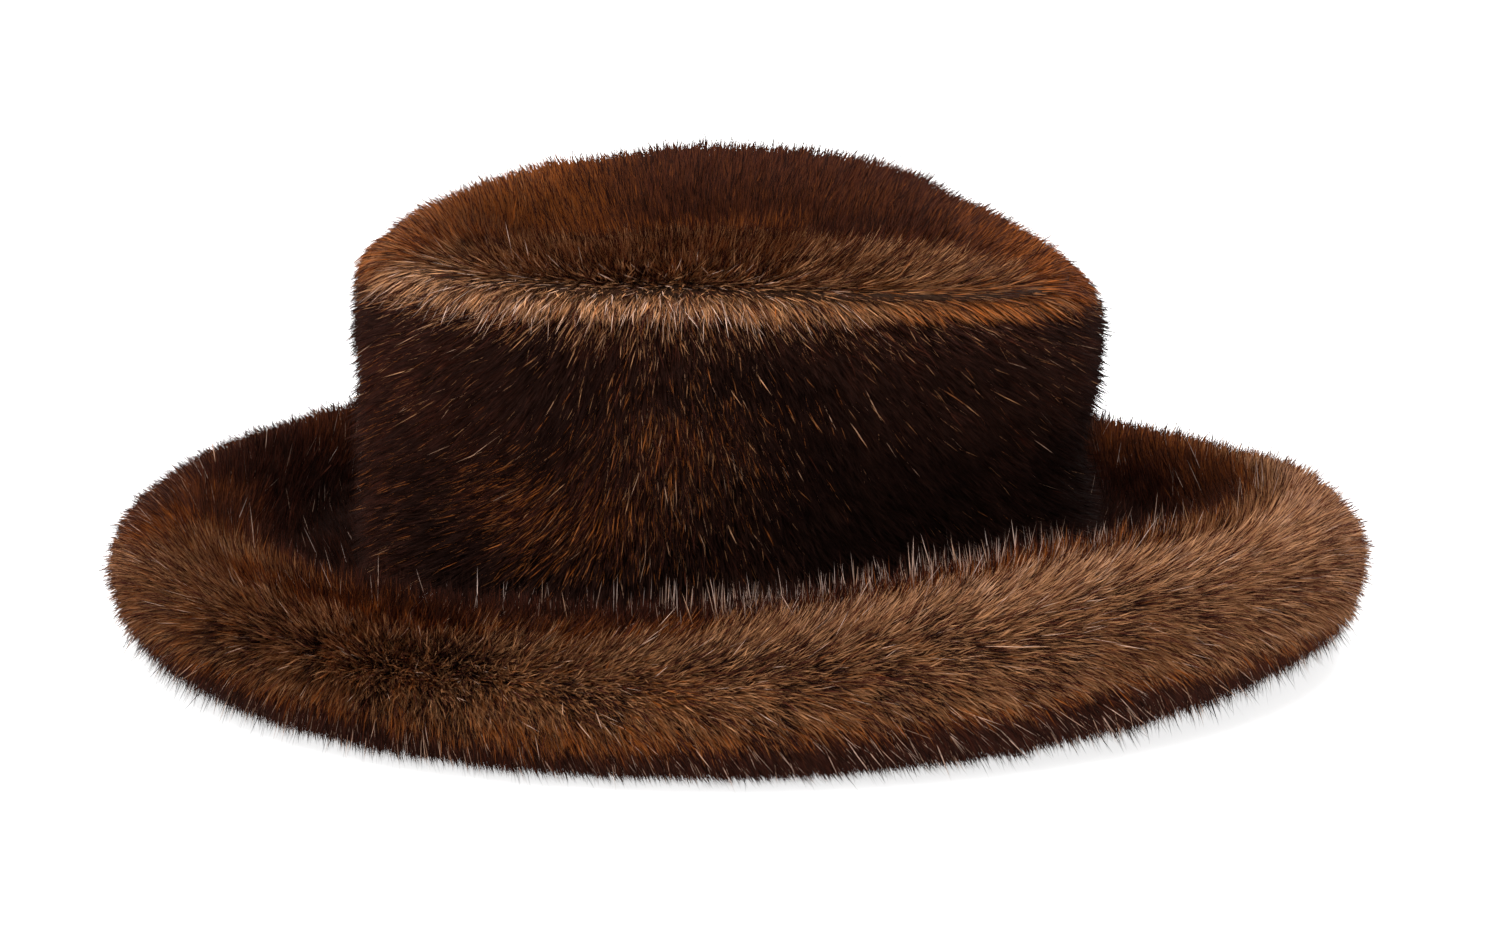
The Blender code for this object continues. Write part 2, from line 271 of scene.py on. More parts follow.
def chance(cell, seed):
    """A number from 0 to 1 for each whole-number cell of space, mixed from its coordinates and a seed."""
    cell = cell.astype(np.int64)
    mixed = seed * HASH_PRIMES[3]
    for axis in range(3):
        mixed = mixed ^ (cell[..., axis] * HASH_PRIMES[axis])
    mixed = (mixed ^ (mixed >> 13)) * 1274126177
    return ((mixed ^ (mixed >> 16)) & 0xFFFFFF) / float(0x1000000)


CORNERS = np.stack(np.meshgrid([0, 1], [0, 1], [0, 1], indexing="ij"), -1).reshape(-1, 3)
NEIGHBOURS = np.stack(np.meshgrid([-1, 0, 1], [-1, 0, 1], [-1, 0, 1], indexing="ij"), -1).reshape(-1, 3)


def cloud(points, size, seed):
    """Smooth noise from 0 to 1 with lumps of this size: the cell corners' values, blended by smooth steps."""
    cell = np.floor(points / size)
    part = smooth_step(points / size - cell)
    total = 0
    for corner in CORNERS:
        weight = np.prod(np.where(corner, part, 1 - part), axis=-1)
        total = total + weight * chance(cell + corner, seed)
    return total


def tufts(points, size, seed):
    """The vector to the middle of the nearest tuft, and a number for that tuft. Each cell of space
    holds one middle, moved off its own middle by chance."""
    cell = np.floor(points / size)
    best = np.full(len(points), np.inf)
    offset = np.zeros_like(points)
    number = np.zeros(len(points))
    for step in NEIGHBOURS:
        near = cell + step
        jitter = np.stack([chance(near, seed + axis) for axis in range(3)], -1)
        away = (near + jitter) * size - points
        distance = (away**2).sum(-1)
        closer = distance < best
        best = np.where(closer, distance, best)
        offset[closer] = away[closer]
        number = np.where(closer, chance(near, seed + 3), number)
    return offset, number


probe = np.random.default_rng(0).uniform(0, 1, (1000, 3))
print("cloud mean %.2f, tuft distance %.2f" % (cloud(probe, 0.1, 1).mean(), np.linalg.norm(tufts(probe, 0.1, 1)[0], axis=1).mean()))

# %% [markdown]
# ## Nodes as sums
# Shader maths is written as ordinary arithmetic. A Wire is one output socket, and a Bench is one
# material's node tree, which makes any other node from its type, its settings and its inputs.

# %% Wire and Bench


class Wire:
    """An output socket. Arithmetic on it adds Math nodes to the same material."""

    def __init__(self, bench, socket):
        self.bench = bench
        self.socket = socket

    def math(self, operation, first, second):
        return self.bench.node("ShaderNodeMath", {"operation": operation}, {0: first, 1: second})

    def __add__(self, other):
        return self.math("ADD", self, other)

    def __sub__(self, other):
        return self.math("SUBTRACT", self, other)

    def __rsub__(self, other):
        return self.math("SUBTRACT", other, self)

    def __mul__(self, other):
        return self.math("MULTIPLY", self, other)

    def __truediv__(self, other):
        return self.math("DIVIDE", self, other)

    __radd__ = __add__
    __rmul__ = __mul__


class Bench:
    """A material's node tree."""

    def __init__(self, name):
        self.material = bpy.data.materials.new(name)
        self.material.use_nodes = True
        self.tree = self.material.node_tree
        self.shader = self.tree.nodes["Principled BSDF"]

    def node(self, kind, settings, inputs, output=0):
        """A node of this type: its settings first, then values or Wires into its sockets, by name or number."""
        made = self.tree.nodes.new(kind)
        for name, value in settings.items():
            if name == "stops":
                self.fill_ramp(made.color_ramp, value)
            else:
                setattr(made, name, value)
        for name, value in inputs.items():
            self.plug(made.inputs[name], value)
        return Wire(self, made.outputs[output])

    def fill_ramp(self, ramp, stops):
        while len(ramp.elements) < len(stops):
            ramp.elements.new(1)
        for element, (place, colour) in zip(ramp.elements, stops):
            element.position = place
            element.color = (*colour, 1)

    def plug(self, socket, value):
        if isinstance(value, Wire):
            self.tree.links.new(value.socket, socket)
        else:
            socket.default_value = value

    def mix(self, factor, first, second, blend="MIX"):
        """Two colours mixed by a factor."""
        settings = {"data_type": "RGBA", "blend_type": blend, "clamp_factor": True}
        return self.node("ShaderNodeMix", settings, {0: factor, 6: first, 7: second}, 2)

    def finish(self, **sockets):
        """Puts values or Wires on the Principled shader's sockets, whose names are written with underscores."""
        for name, value in sockets.items():
            self.plug(self.shader.inputs[name.replace("_", " ")], value)
        return self.material


# %% [markdown]
# ## The dye chart
# Every hair takes its colour from one chart. Across it runs the tone, from black through reddish and
# orange browns to tan and silver, and up it runs the hair, from root to point. The silver end is partly
# silvery hair and partly painted sheen, a pale colour standing in for the highlights on the strands.
# A real fur reads this way: each hair is dark or bright as a whole, and paler or darker at its point.
# The chart is three colour ramps over the tone, blended along the hair, with a fine noise so that
# neighbours differ.

# %% Dye chart
CHART = "chart"
Dye = namedtuple("Dye", "tone root body point")
DYES = (
    Dye(0.00, (0.003, 0.0015, 0.001), (0.008, 0.003, 0.002), (0.014, 0.006, 0.005)),
    Dye(0.14, (0.006, 0.0025, 0.002), (0.022, 0.008, 0.005), (0.034, 0.014, 0.010)),
    Dye(0.28, (0.010, 0.003, 0.002), (0.052, 0.013, 0.007), (0.072, 0.020, 0.012)),
    Dye(0.42, (0.020, 0.006, 0.003), (0.120, 0.033, 0.011), (0.110, 0.034, 0.014)),
    Dye(0.56, (0.045, 0.013, 0.003), (0.320, 0.085, 0.015), (0.240, 0.068, 0.016)),
    Dye(0.70, (0.040, 0.015, 0.006), (0.235, 0.095, 0.036), (0.190, 0.078, 0.031)),
    Dye(0.86, (0.090, 0.037, 0.015), (0.460, 0.225, 0.105), (0.430, 0.208, 0.098)),
    # silver: partly silvery hair, partly painted sheen for the strands' highlights
    Dye(1.00, (0.100, 0.070, 0.055), (0.500, 0.370, 0.320), (0.620, 0.500, 0.460)),
)
CHART_GRAIN = 0.35


def fur_dyed():
    """The hairs' material: the chart, read through each hair's own place on it."""
    bench = Bench("fur_dyed")
    place = bench.node("ShaderNodeUVMap", {"uv_map": CHART}, {})
    tone = bench.node("ShaderNodeSeparateXYZ", {}, {0: place}, 0)
    along = bench.node("ShaderNodeSeparateXYZ", {}, {0: place}, 1)
    parts = [
        bench.node("ShaderNodeValToRGB", {"stops": [(d.tone, getattr(d, part)) for d in DYES]}, {0: tone})
        for part in ("root", "body", "point")
    ]
    colour = bench.mix(along / 0.36, parts[0], parts[1])
    colour = bench.mix((along - 0.66) / 0.34, colour, parts[2])
    stretched = bench.node("ShaderNodeMapping", {}, {"Vector": place, "Scale": (1, 0.01, 1)})
    grain = bench.node("ShaderNodeTexNoise", {}, {"Vector": stretched, "Scale": 260.0, "Detail": 3.0})
    lighter = bench.node("ShaderNodeVectorMath", {"operation": "SCALE"}, {0: colour, "Scale": 1 + CHART_GRAIN})
    darker = bench.node("ShaderNodeVectorMath", {"operation": "SCALE"}, {0: colour, "Scale": 1 - CHART_GRAIN})
    colour = bench.mix((grain - 0.3) / 0.4, darker, lighter)
    return bench.finish(
        Base_Color=colour,
        Roughness=0.62 - 0.14 * tone + 0.1 * grain,
        # little specular: the strands' sheen is painted into the silver tones
        Specular_IOR_Level=0.02,
    )


fur = fur_dyed()
print("dyes:", len(DYES), "nodes:", len(fur.node_tree.nodes))

# %% [markdown]
# ## Shells: skin and underfur
# Under the long hairs a pelt has a wool so dense that it can't be seen through. It is a shell between
# the skin and about half the pile, closed all round. Its outside is woolly and dark, with soft bumps,
# because it only shows as shadow between the hairs. The skin side is plain suede.

# %% Underfur and suede


def underfur(name, deep, high):
    """Woolly underfur: two browns in fine curls, with soft bumps."""
    bench = Bench(name)
    place = bench.node("ShaderNodeTexCoord", {}, {}, 3)
    curls = bench.node("ShaderNodeTexNoise", {}, {"Vector": place, "Scale": 700.0, "Detail": 4.0, "Roughness": 0.7})
    patches = bench.node("ShaderNodeTexNoise", {}, {"Vector": place, "Scale": 45.0, "Detail": 2.0})
    colour = bench.mix(curls * 0.7 + patches * 0.6 - 0.2, (*deep, 1), (*high, 1))
    bump = bench.node("ShaderNodeBump", {}, {"Strength": 0.6, "Distance": 0.0012, "Height": curls})
    return bench.finish(Base_Color=colour, Roughness=0.75 + 0.2 * patches, Normal=bump, Specular_IOR_Level=0.1)


def suede(name):
    """The skin side of a pelt: buff suede with a short nap."""
    bench = Bench(name)
    place = bench.node("ShaderNodeTexCoord", {}, {}, 3)
    nap = bench.node("ShaderNodeTexNoise", {}, {"Vector": place, "Scale": 900.0, "Detail": 3.0})
    patches = bench.node("ShaderNodeTexNoise", {}, {"Vector": place, "Scale": 30.0, "Detail": 3.0})
    colour = bench.mix(0.6 * patches + 0.4 * nap, (0.22, 0.15, 0.10, 1), (0.42, 0.31, 0.22, 1))
    bump = bench.node("ShaderNodeBump", {}, {"Strength": 0.4, "Distance": 0.0005, "Height": nap})
    return bench.finish(Base_Color=colour, Roughness=0.8 + 0.15 * nap, Normal=bump, Specular_IOR_Level=0.1)


skin_suede = suede("skin_suede")
UNDERFUR = {
    "crown_tip": underfur("tip_underfur", (0.012, 0.005, 0.002), (0.050, 0.019, 0.008)),
    "crown_band": underfur("band_underfur", (0.003, 0.0015, 0.001), (0.010, 0.004, 0.002)),
    "brim_top": underfur("gutter_underfur", (0.006, 0.002, 0.001), (0.020, 0.007, 0.003)),
    "brim_under": underfur("roll_underfur", (0.010, 0.004, 0.002), (0.045, 0.017, 0.007)),
}

# %% [markdown]
# A ring-shaped pelt is one closed loop of a section, repeated round the hat, and the tip is a disc.
# Both are grids of points, joined by the same rule: each point with the next ones along and across.

# %% Shell meshes
COLUMNS = 144
SHELL_COVER = 0.55
TIP_SHELL_SHARE = 0.94
columns = np.arange(COLUMNS) * FULL_TURN / COLUMNS


def mesh_piece(name, points, faces, materials, face_material):
    """A mesh object from arrays of points and equal-sided faces, smooth, with one material number a face."""
    mesh = bpy.data.meshes.new(name)
    sides = faces.shape[1]
    mesh.vertices.add(len(points))
    mesh.vertices.foreach_set("co", points.astype(np.float32).ravel())
    mesh.loops.add(faces.size)
    mesh.loops.foreach_set("vertex_index", faces.astype(np.int32).ravel())
    mesh.polygons.add(len(faces))
    mesh.polygons.foreach_set("loop_start", np.arange(0, faces.size, sides, dtype=np.int32))
    mesh.polygons.foreach_set("material_index", np.broadcast_to(face_material, len(faces)).astype(np.int32))
    mesh.update(calc_edges=True)
    mesh.validate()
    mesh.shade_smooth()
    for material in materials:
        mesh.materials.append(material)
    piece = bpy.data.objects.new(name, mesh)
    bpy.context.scene.collection.objects.link(piece)
    return piece


def ring_shell(name, outside, skin):
    """A closed ring: the outside's rows run out and down, the skin's rows lead back. Each row is joined
    to the next and the last to the first."""
    rows = np.concatenate([outside, skin])[::-1]
    count = len(rows)
    index = np.arange(count * COLUMNS).reshape(count, COLUMNS)
    right = np.roll(index, -1, axis=1)
    faces = np.stack([index, right, np.roll(right, -1, axis=0), np.roll(index, -1, axis=0)], -1)
    is_skin = (np.arange(count) < len(skin) - 1)[:, None] & np.ones(COLUMNS, bool)[None]
    faces = faces.reshape(-1, 4)
    return mesh_piece(name, rows.reshape(-1, 3), faces, [UNDERFUR[name[:-6]], skin_suede], is_skin.ravel())


def disc_shell(name, outside, skin):
    """A closed lens: both sides are rows from the middle out, joined at the rim, each with one middle point."""
    rows = len(outside)
    ring = np.arange(rows * COLUMNS).reshape(rows, COLUMNS)

    def side(index):
        right = np.roll(index, -1, axis=1)
        return np.stack([index[:-1], index[1:], right[1:], right[:-1]], -1).reshape(-1, 4)

    low = ring + ring.size
    rim = np.stack([ring[-1], low[-1], np.roll(low[-1], -1), np.roll(ring[-1], -1)], -1)
    faces = np.concatenate([side(ring), side(low)[:, ::-1], rim])
    order = np.arange(len(faces)) // ((rows - 1) * COLUMNS)
    points = np.concatenate([outside.reshape(-1, 3), skin.reshape(-1, 3)])
    piece = mesh_piece(name, points, faces, [UNDERFUR[name[:-6]], skin_suede], order == 1)
    close_middles(piece.data)
    return piece


def close_middles(mesh):
    """Welds the row of points in a disc's middle into one, which leaves triangles round it."""
    import bmesh

    work = bmesh.new()
    work.from_mesh(mesh)
    bmesh.ops.remove_doubles(work, verts=work.verts, dist=1e-6)
    work.to_mesh(mesh)
    work.free()


def shells():
    """The four shells, each a grid read from its surface at two depths."""
    azimuth = columns[None]
    fur_rows = np.linspace(0, 1, 32)[:, None]
    skin_rows = np.linspace(1, 0, 8)[:, None]
    cover = SHELL_COVER
    band = ring_shell("crown_band_shell", band_at(fur_rows, azimuth, cover), band_at(skin_rows, azimuth, 0.0))
    gutter = ring_shell(
        "brim_top_shell", gutter_at(fur_rows, azimuth, cover), gutter_at(skin_rows, azimuth, 0.04)
    )
    under = under_rows(azimuth, cover)
    roll = ring_shell("brim_under_shell", under[0], under[1])
    share = np.sqrt(fur_rows) * TIP_SHELL_SHARE
    tip = disc_shell("crown_tip_shell", tip_at(share, azimuth, cover), tip_at(share, azimuth, 0.0))
    return tip, band, gutter, roll


def under_rows(azimuth, cover):
    """The under pelt's section: round the roll and in along the table, and back on the seam of the pelts."""
    depth = PILE * (1 - cover)
    middle = roll_middle(azimuth)
    rise = ROLL_RISE * around("rise", azimuth)
    turns = np.linspace(0, 1, 32)[:, None]
    roll = roll_at(turns, azimuth, cover)
    shares = np.array([0.84, 0.64, 0.46, 0.28, 0.10, 0.02])[:, None]
    lift = np.array([0.3, 0, 0, 0, 0, 0])[:, None] * rise + depth * smooth_step(shares / 0.84 * 1.4)
    lift = lift + np.array([0, 0, 0, 0, 0.0018, 0.007])[:, None]
    base = on_plan(azimuth, middle * shares, lift)
    back = np.linspace(0, 1, 16)[:, None]
    out = middle * back
    climb = smooth_step((out - middle + GUTTER_SLOPE) / GUTTER_SLOPE)
    seam = PILE + (ROLL_HEIGHT * around("roll", azimuth) - 2 * PILE) * climb
    return np.concatenate([roll, base]), on_plan(azimuth, out, seam - 0.02 * PILE)


pelts = shells()
for piece in pelts:
    node = piece.name[:-6]
    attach(piece, "root")
    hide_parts(node)
    low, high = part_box(node)
    print(piece.name, len(piece.data.polygons), "faces")

# %% [markdown]
# ## Sowing roots
# Hair roots are drawn at random, as many on each patch of a surface as its area asks for. The
# surface is cut into a fine grid of patches, each patch's area is the length of a cross product, and
# a patch is drawn with a chance in proportion to it. The same call gives each root its normal and
# the two directions that the comb works in: along the section, and round the hat.

# %% Roots
PATCHES = (160, 720)
TINY = 1e-4
ROOT_COVER = 0.45
Roots = namedtuple("Roots", "along azimuth point normal down side")


def unit(vectors):
    """Vectors made one long."""
    return vectors / np.maximum(np.linalg.norm(vectors, axis=-1, keepdims=True), 1e-12)


def sow(surface, count, span, favour, seed):
    """Roots on a surface between two values of its first parameter. favour weighs the patches."""
    rng = np.random.default_rng(seed)
    rows, slots = PATCHES
    along = np.linspace(*span, rows + 1)
    azimuth = np.linspace(0, FULL_TURN, slots + 1)
    grid = surface(along[:, None], azimuth[None], ROOT_COVER)
    area = np.linalg.norm(np.cross(grid[1:, :-1] - grid[:-1, :-1], grid[:-1, 1:] - grid[:-1, :-1]), axis=-1)
    middles = (along[1:] + along[:-1])[:, None] / 2, (azimuth[1:] + azimuth[:-1])[None] / 2
    weight = (area * favour(*np.broadcast_arrays(*middles))).ravel()
    patch = np.searchsorted(np.cumsum(weight) / weight.sum(), rng.random(count))
    patch = np.minimum(patch, weight.size - 1)
    a = span[0] + (patch // slots + rng.random(count)) / rows * (span[1] - span[0])
    b = (patch % slots + rng.random(count)) / slots * FULL_TURN
    point = surface(a, b, ROOT_COVER)
    down = unit(surface(a + TINY, b, ROOT_COVER) - surface(a - TINY, b, ROOT_COVER))
    side = unit(surface(a, b + TINY, ROOT_COVER) - surface(a, b - TINY, ROOT_COVER))
    normal = unit(np.cross(down, side))
    return Roots(a, b, point, normal, down, unit(np.cross(normal, down)))


# %% [markdown]
# ## Growing hairs
# A hair is one slim triangle: a root, a belly to one side of it past the middle, and a sharp point.
# Three corners are few enough for some hundred thousand hairs on each pelt, and the belly gives the
# part that shows its width. It leaves the skin at its lift, turns with the comb and falls by its weight.
# Its point is drawn to the middle of its tuft, which is what parts fur into locks. Some hairs are
# guard hairs: longer, thinner and darker, so that the outline frays as real fur does.

# %% Hairs
Coat = namedtuple("Coat", "turn lift length tone fall")
HAIR_WIDTH = 0.00032
BELLY_PLACE = 0.62
TUFT_SIZE = 0.0027
TUFT_PULL = 0.42
LOCK_SIZE = 0.012
LOCK_PULL = 0.08
GUARD_SHARE = 0.18
GUARD_LONGER = 0.50
GUARD_DARKER = 0.35
GUARD_WIDTH = 0.7
PALEST = 0.86
# tones past this are the silver dye, partly silvery hair and partly painted sheen
SILVER_AND_SHEEN_TONE = 0.88
LOWEST = 0.0006
BAKE_MAP = "OFBake"
CHART_WIDTH = 0.0016


def rotate(first, second, angle):
    """first turned towards second by an angle, both square on each other."""
    return first * np.cos(angle)[:, None] + second * np.sin(angle)[:, None]


def grow(name, roots, coat, seed):
    """One joined mesh of hairs on these roots, combed and dyed as the coat says."""
    rng = np.random.default_rng(seed)
    count = len(roots.point)
    tuft, tuft_number = tufts(roots.point, TUFT_SIZE, seed)
    lock, lock_number = tufts(roots.point, LOCK_SIZE, seed + 7)
    guard = (rng.random(count) < GUARD_SHARE) | (coat.tone > SILVER_AND_SHEEN_TONE)
    turn = coat.turn + rng.normal(0, 0.30, count) + 0.5 * (tuft_number - 0.5) + 0.3 * (lock_number - 0.5)
    lift = coat.lift * (1 + 0.30 * (tuft_number - 0.5)) + rng.normal(0, 0.20, count)
    length = coat.length * (0.95 + rng.normal(0, 0.12, count)) * (1 + 0.16 * (lock_number - 0.5))
    length = length * (1 + GUARD_LONGER * guard * rng.random(count))
    heading = rotate(roots.down, roots.side, turn)
    direction = unit(rotate(heading, roots.normal, lift) - coat.fall[:, None] * np.array([0, 0, 1]))
    pull = tuft * TUFT_PULL + lock * LOCK_PULL
    pull -= (pull * roots.normal).sum(-1, keepdims=True) * roots.normal
    point = roots.point + direction * length[:, None] + pull
    point[:, 2] = np.maximum(point[:, 2], LOWEST)
    face = unit(np.cross(point - roots.point, roots.normal))
    face = rotate(face, unit(np.cross(face, point - roots.point)), rng.normal(0, 0.6, count))
    width = face * (HAIR_WIDTH * rng.uniform(0.7, 1.3, count) * np.where(guard, GUARD_WIDTH, 1))[:, None]
    belly = roots.point + (point - roots.point) * BELLY_PLACE + width * rng.choice([-1, 1], count)[:, None]
    corners = np.stack([roots.point, belly, point], 1)
    faces = np.arange(count * 3).reshape(-1, 3)
    piece = mesh_piece(name, corners.reshape(-1, 3), faces, [fur], 0)
    darkened = np.where(guard & (coat.tone < SILVER_AND_SHEEN_TONE), coat.tone * GUARD_DARKER, coat.tone)
    tone = np.clip(darkened + 0.05 * (tuft_number - 0.5), CHART_WIDTH, 1 - CHART_WIDTH)
    across = tone[:, None] + CHART_WIDTH * np.array([-1, 0, 1])
    chart = np.stack([across, np.broadcast_to([0.01, BELLY_PLACE, 0.99], across.shape)], -1)
    write_chart(piece.data, chart.reshape(-1, 2), faces)
    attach(piece, "root")
    print(name, count, "hairs")
    return piece


def write_chart(mesh, chart, faces):
    """The hairs' places on the dye chart, as the map that the material reads and the one for baking."""
    for name in (CHART, BAKE_MAP):
        layer = mesh.uv_layers.new(name=name)
        layer.data.foreach_set("uv", chart[faces.ravel()].astype(np.float32).ravel())


# %% [markdown]
# ## Combing
# Each pelt has its own comb: which way its hair runs, how steeply it stands, how long it is, and
# which dye each hair takes. Directions that change round the hat are short tables, read with a
# blend that closes on itself. Tones are chosen in two steps: a ground tone for the place, and a
# share of hairs that take a second, darker or paler one, which is what makes fur look tweedy.
# Where the darker ones gather in flecks, they are painted shadow between the clumps.

# %% Combing tables
Comb = namedtuple("Comb", "azimuth band gutter roll")
COMBS = (
    Comb(0, 45, 5, 12),
    Comb(30, 48, 10, 20),
    Comb(60, 52, 10, 45),
    Comb(90, 58, 5, 65),
    Comb(120, 60, 0, 55),
    Comb(150, 50, -10, 30),
    Comb(180, 0, -15, 8),
    Comb(210, -72, -10, 15),
    Comb(235, -65, 5, 78),
    Comb(255, 12, 10, 90),
    Comb(270, 26, 8, 92),
    Comb(300, 42, 12, 85),
    Comb(330, 46, 10, 45),
)


def combed(column, azimuth):
    """A column of COMBS at any azimuth, in radians, blended straight from row to row and closed."""
    degrees = [row.azimuth for row in COMBS]
    values = [getattr(row, column) for row in COMBS]
    return np.radians(np.interp(np.degrees(azimuth), degrees, values, period=360))


def within(azimuth, centre, half):
    """1 at an azimuth and falling softly to 0 over this many degrees either way."""
    turn = np.angle(np.exp(1j * (azimuth - np.radians(centre)))) / np.radians(half)
    return np.exp(-(turn**2))


def picked(rng, ground, other, share):
    """ground for most hairs, and other for this share of them."""
    return np.where(rng.random(len(ground)) < share, other, ground)


def uneven(rng, tone, spread):
    """Tones spread by chance, none of them past the palest dye that isn't silver."""
    return np.clip(tone + rng.normal(0, spread, len(tone)), 0, PALEST)


# %% [markdown]
# ## The tip
# Seen in the photograph the tip is tweedy light brown on the near rim, its hair falling over the
# dark band, and a clear orange brown inside the dent and on the far side. The hair runs out from the
# dent, with a lean to the right.

# %% Tip
TIP_HAIRS = 190000


def even(along, azimuth):
    """Hairs spread evenly."""
    return np.ones_like(along)


def front_first(along, azimuth):
    """A third more hairs towards the front than the back."""
    return 1.15 - 0.2 * np.sin(azimuth)


def tip_coat(roots, seed):
    rng = np.random.default_rng(seed)
    x, y = (roots.point - MIDDLE)[:, 0], (roots.point - MIDDLE)[:, 1]
    rim = smooth_step((roots.along - 0.62) / 0.3)
    broad = cloud(roots.point, 0.035, 11)
    fine = cloud(roots.point, 0.006, 12)
    lean = np.arctan2(-0.25 * roots.down[:, 1] + 0.0, 1.0)
    near = smooth_step((-y - 0.026 + 0.010 * (fine - 0.5)) / 0.008)
    turn = lean + 0.45 * near * np.sign(roots.side[:, 0]) * np.clip(x / 0.06 + 0.3, 0, 1)
    edge = smooth_step((roots.along - 0.72) / 0.26)
    lift = 0.95 - 0.30 * smooth_step((roots.along - 0.25) / 0.5)
    length = 0.0110 - 0.001 * edge
    dent = 1 - near
    ground = 0.75 - 0.20 * dent + 0.08 * (broad - 0.5) + 0.08 * (fine - 0.5)
    far = smooth_step((y - 0.019) / 0.008) * smooth_step((x + 0.060) / 0.045)
    dark_side = np.maximum(far, smooth_step(x / 0.03)) * (1 - smooth_step((x - 0.050) / 0.04))
    ground = ground - 0.22 * dent * dark_side + 0.05 * dent * (1 - dark_side)
    # a paler band on the left shoulder's rounded rim: painted highlight where it faces the light
    rim_highlight = within(np.arctan2(y, x), 205, 38) * np.exp(-(((roots.along - 0.90) / 0.05) ** 2))
    ground = ground + 0.13 * rim_highlight - 0.10 * edge * smooth_step((x - 0.01) / 0.05)
    # dark flecks on the near rim: painted shadow between the clumps of hair
    shadow_flecks = cloud(roots.point, 0.0030, 13)
    shadow_flecked = near * smooth_step((0.6 * shadow_flecks + 0.4 * fine - 0.42) / 0.2) * (1 - 0.6 * edge)
    shadow_flecked = shadow_flecked * (1 - 0.5 * smooth_step(x / 0.05))
    dark = picked(rng, ground, 0.05 + 0.15 * fine, 0.10 + 0.42 * shadow_flecked)
    # a few silver points on the near rim, partly silvery hair and partly painted sheen
    tone = picked(rng, uneven(rng, dark, 0.05), 0.93, 0.07 * edge * near * (1 - smooth_step(x / 0.05)))
    return Coat(turn, lift, length, tone, 1.15 * edge)


tip_roots = sow(tip_at, TIP_HAIRS, (0.01, 0.955), front_first, 101)
tip_hair = grow("crown_tip_hair", tip_roots, tip_coat(tip_roots, 102), 103)

# %% [markdown]
# ## The band
# The darkest pelt: near black, with a few brown patches where the wool shows through, the lowest at
# the front left also a painted highlight on the band's bulge, and silvery single hairs that are partly
# painted sheen. Its hair runs down and to the right, and parts near the left, where it runs back.

# %% Band
BAND_HAIRS = 190000
# brown patches: wool showing through, and at 243 degrees also a painted highlight on the bulge
WOOL_AND_HIGHLIGHT_SPOTS = ((243, 0.62, 16, 0.16, 0.36), (262, 0.34, 12, 0.16, 0.18), (196, 0.55, 22, 0.40, 0.07))


def band_coat(roots, seed):
    rng = np.random.default_rng(seed)
    broad = cloud(roots.point, 0.030, 21)
    fine = cloud(roots.point, 0.005, 22)
    ground = 0.05 + 0.10 * smooth_step((broad - 0.45) / 0.35) + 0.08 * (fine - 0.5)
    fringe = 1 - smooth_step((roots.along + 0.02 - 0.05 * fine) / 0.06)
    fringe = fringe * (1 - 0.85 * within(roots.azimuth, 325, 42))
    ground = picked(rng, ground, 0.62 + 0.30 * rng.random(len(fine)), 0.36 * fringe)
    for centre, down, half, tall, amount in WOOL_AND_HIGHLIGHT_SPOTS:
        patch = within(roots.azimuth, centre, half) * np.exp(-(((roots.along - down) / tall) ** 2))
        ground = picked(rng, ground + 0.16 * patch, 0.60, amount * patch)
    # light single hairs, most at the front: partly silvery hair, partly painted sheen
    silver_hair_and_sheen = 0.004 + 0.02 * smooth_step((broad - 0.5) / 0.3)
    silver_hair_and_sheen = silver_hair_and_sheen + 0.11 * within(roots.azimuth, 263, 13) * np.exp(-(((roots.along - 0.40) / 0.26) ** 2))
    tone = picked(rng, uneven(rng, ground, 0.035), 0.60 + 0.30 * rng.random(len(fine)), silver_hair_and_sheen)
    turn = combed("band", roots.azimuth)
    length = 0.0115 + 0 * fine
    lift = 0.85 + 0.2 * within(roots.azimuth, 190, 35) + 0.2 * within(roots.azimuth, 0, 35)
    return Coat(turn, lift, length, tone, 0.25 + 0 * fine)


band_roots = sow(band_at, BAND_HAIRS, (-0.02, 0.97), front_first, 201)
band_hair = grow("crown_band_hair", band_roots, band_coat(band_roots, 202), 203)

# %% [markdown]
# ## The gutter
# The upper brim pelt lies in the crown's shadow. Its hair stands steeply and runs out and up the
# slope, so that greyish points, partly grey hair and partly painted sheen, show over the crest in
# front of the dark band.

# %% Gutter
GUTTER_HAIRS = 130000
CREST_AZIMUTHS = (0, 60, 90, 150, 185, 205, 225, 250, 270, 310, 340)
CREST_REACHES = (0.002, -0.006, -0.008, -0.008, -0.006, 0.005, 0.000, -0.006, -0.004, 0.000, 0.004)


